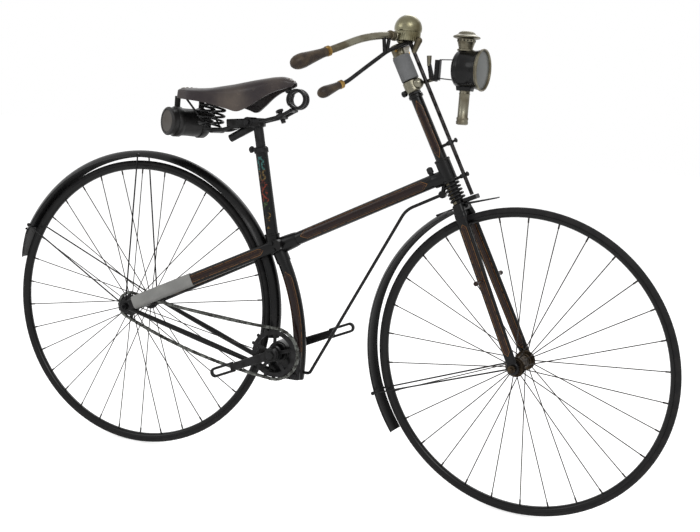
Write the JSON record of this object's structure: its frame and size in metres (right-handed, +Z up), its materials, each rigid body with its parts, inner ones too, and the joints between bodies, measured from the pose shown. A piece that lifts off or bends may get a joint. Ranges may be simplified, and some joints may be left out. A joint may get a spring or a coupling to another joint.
{
  "type": "antique safety bicycle with a cross frame",
  "caption": "Old safety bicycle with a straight cross frame, solid tyres, spring below the head, chain drive, slotted cranks, candle lamp, bell and tool bag.",
  "frame": {"origin": "on top of the saddle, where the rider sits", "axes": "+X points ahead, +Y to the rider's left, +Z up"},
  "size_m": [1.8113, 0.5923, 1.1844],
  "materials": {
    "bag_leather": "black hide",
    "black_enamel": "aged gloss black enamel with lining",
    "chain_steel": "dull grey steel",
    "grey_sleeve": "plain matt grey",
    "grip_horn": "polished dark horn",
    "hub_steel": "darkened steel",
    "nickel": "worn nickel plate",
    "rubber": "old solid rubber",
    "saddle_leather": "worn dark brown hide",
    "spoke_steel": "dull darkened wire",
    "spring_steel": "blackened steel"
  },
  "bodies": {
    "root": {"backbone": "black_enamel", "crossing_lug": "black_enamel", "seat_tube": "black_enamel", "lower_tube": "black_enamel", "rear_blades": "black_enamel", "rear_blade_sleeve": "grey_sleeve", "bottom_bracket": "black_enamel", "lower_stays": "black_enamel", "chain": "chain_steel", "rear_axle": "hub_steel", "rear_guard": "black_enamel", "mud_flap": "bag_leather", "rear_guard_stays": "black_enamel", "tie_rod": "black_enamel", "head_tube": "black_enamel", "head_lug": "black_enamel", "seat_post": "black_enamel", "seat_collar": "black_enamel", "saddle_leather": "saddle_leather", "tool_bag": "bag_leather", "bag_straps": "bag_leather", "saddle_clamp": "black_enamel", "saddle_frame": "black_enamel", "rear_springs": "spring_steel", "front_springs": "spring_steel"},
    "steering": {"steerer": "nickel", "head_spring": "spring_steel", "fork_crown": "black_enamel", "fork_blades": "black_enamel", "front_axle": "hub_steel", "front_guard": "black_enamel", "front_guard_stays": "black_enamel", "stem_sleeve": "grey_sleeve", "handlebar": "nickel", "grips": "grip_horn", "brake_rod": "black_enamel", "brake_lever": "black_enamel", "brake_spoon": "black_enamel", "bell": "nickel", "lamp_body": "black_enamel", "lamp_rim": "nickel", "lamp_chimney": "nickel", "lamp_candle_tube": "nickel", "lamp_bracket": "nickel"},
    "front_wheel": {"front_tyre": "rubber", "front_rim": "black_enamel", "front_spokes": "spoke_steel", "front_hub": "hub_steel"},
    "rear_wheel": {"rear_tyre": "rubber", "rear_rim": "black_enamel", "rear_spokes": "spoke_steel", "rear_hub": "hub_steel"},
    "crankset": {"cranks": "black_enamel", "crank_axle": "hub_steel", "chainring": "chain_steel"}
  },
  "joints": [
    {"name": "steering", "type": "hinge", "parent": "root", "child": "steering", "pos_m": [0.64757, 0, -0.17737], "axis": [-0.4462, 0, 0.8949], "range_deg": [-36.3, 53.7]},
    {"name": "front_wheel_spin", "type": "hinge", "parent": "steering", "child": "front_wheel", "pos_m": [0.86194, -0.00091, -0.59403], "axis": [0.1354, 0.9885, 0.0675], "continuous": true},
    {"name": "rear_wheel_spin", "type": "hinge", "parent": "root", "child": "rear_wheel", "pos_m": [-0.17, 0, -0.585], "axis": [0, 1, 0], "continuous": true},
    {"name": "crank_spin", "type": "hinge", "parent": "root", "child": "crankset", "pos_m": [0.251, 0, -0.653], "axis": [0, 1, 0], "continuous": true}
  ],
  "couplings": [
    {"joint": "crank_spin", "follows": "rear_wheel_spin", "ratio": 0.5}
  ]
}
